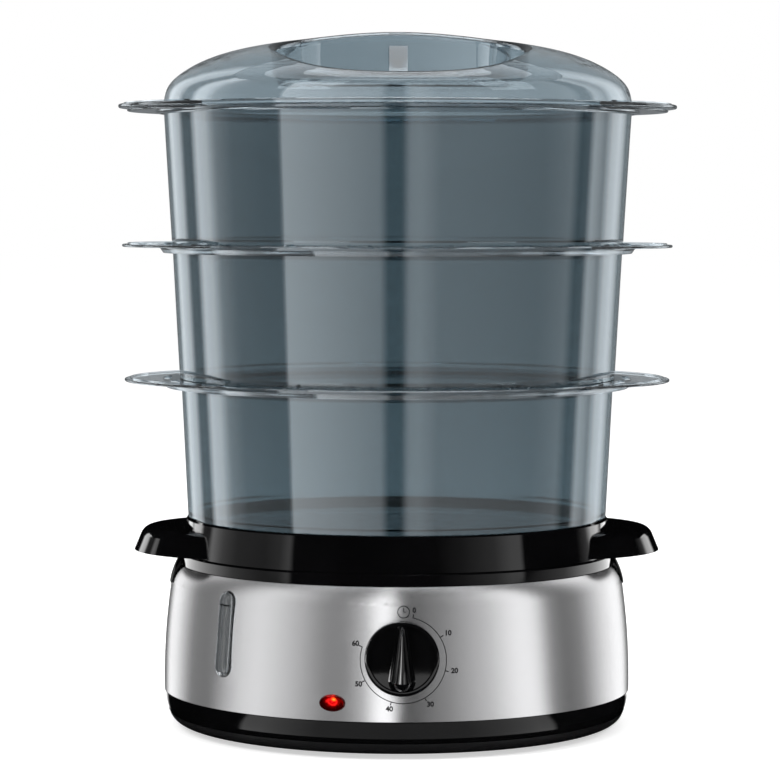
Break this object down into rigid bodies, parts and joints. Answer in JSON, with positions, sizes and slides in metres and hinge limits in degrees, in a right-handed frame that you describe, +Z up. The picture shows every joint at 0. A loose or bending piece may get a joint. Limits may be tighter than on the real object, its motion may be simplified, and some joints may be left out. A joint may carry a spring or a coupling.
{
  "type": "electric food steamer",
  "caption": "Electric food steamer: round steel-wrapped base with a timer knob, indicator lamp and water gauge, drip tray with handles, stacked clear bowls and a domed clear lid.",
  "frame": {"origin": "on the floor below the middle of the base", "axes": "+Z up, -Y towards the front with the knob, X across the handles"},
  "size_m": [0.3056, 0.2842, 0.38],
  "materials": {
    "clear_plastic": "clear moulded plastic, glossy",
    "gauge_clear": "clear plastic, glossy",
    "black_gloss": "glossy black moulding",
    "black_knob": "glossy black moulding",
    "black_matte": "textured black moulding",
    "steel": "fine vertical brushing",
    "tank_grey": "moulded dark grey plastic",
    "ring_white": "moulded off-white plastic",
    "red_lens": "clear red plastic, lit from behind",
    "neon": "small glass bulb",
    "rubber_black": "matt rubber",
    "silicone": "translucent silicone",
    "plate_metal": "cast and machined",
    "sheath": "heat-stained steel sheath",
    "zinc": "zinc-plated steel",
    "contact_brass": "stamped brass",
    "case_cream": "moulded technical plastic",
    "fuse_white": "woven glass sleeve",
    "wire_brown": "wire insulation",
    "wire_blue": "wire insulation",
    "wire_green": "wire insulation"
  },
  "bodies": {
    "base": {"base_housing": "black_gloss", "steel_wrap": "steel", "trim_ring": "black_gloss", "water_tank": "tank_grey", "bottom_cover": "black_matte", "rubber_feet": "rubber_black", "cover_screws": "zinc", "cord_gland": "rubber_black", "terminal_block": "case_cream", "heater_plate": "plate_metal", "heating_element": "sheath", "heater_seal": "silicone", "heater_clamp": "zinc", "clamp_nuts": "zinc", "thermostat": "case_cream", "thermal_fuse": "fuse_white", "timer_case": "case_cream", "timer_cover": "zinc", "timer_screws": "zinc", "timer_bell": "zinc", "timer_contacts": "contact_brass", "lamp_lens": "red_lens", "neon_lamp": "neon", "lamp_clip": "case_cream", "gauge_window": "gauge_clear", "gauge_gasket": "silicone", "gauge_back": "gauge_clear", "gauge_hose": "silicone", "live_wire": "wire_brown", "fuse_wire": "wire_brown", "neutral_wire": "wire_blue", "earth_wire": "wire_green"},
    "knob": {"timer_knob": "black_knob", "knob_clip": "zinc", "timer_shaft": "zinc", "timer_cam": "ring_white"},
    "steam_ring": {"steam_ring": "ring_white"},
    "drip_tray": {"drip_tray": "black_gloss"},
    "bowl_1": {"bowl_1": "clear_plastic", "bowl_1_floor": "clear_plastic"},
    "bowl_2": {"bowl_2": "clear_plastic", "bowl_2_floor": "clear_plastic"},
    "bowl_3": {"bowl_3": "clear_plastic", "bowl_3_floor": "clear_plastic"},
    "lid": {"lid": "clear_plastic"}
  },
  "joints": [
    {"name": "knob_turn", "type": "hinge", "parent": "base", "child": "knob", "pos_m": [0, -0.131, 0.0537], "axis": [0, 1, 0], "range_deg": [0, 287]},
    {"name": "steam_ring_lift", "type": "slide", "parent": "base", "child": "steam_ring", "axis": [0, 0, 1], "range_m": [0, 0.02]},
    {"name": "drip_tray_lift", "type": "slide", "parent": "base", "child": "drip_tray", "axis": [0, 0, 1], "range_m": [0, 0.09]},
    {"name": "bowl_1_lift", "type": "slide", "parent": "drip_tray", "child": "bowl_1", "axis": [0, 0, 1], "range_m": [0, 0.08]},
    {"name": "bowl_2_lift", "type": "slide", "parent": "bowl_1", "child": "bowl_2", "axis": [0, 0, 1], "range_m": [0, 0.08]},
    {"name": "bowl_3_lift", "type": "slide", "parent": "bowl_2", "child": "bowl_3", "axis": [0, 0, 1], "range_m": [0, 0.08]},
    {"name": "lid_lift", "type": "slide", "parent": "bowl_3", "child": "lid", "axis": [0, 0, 1], "range_m": [0, 0.08]}
  ]
}
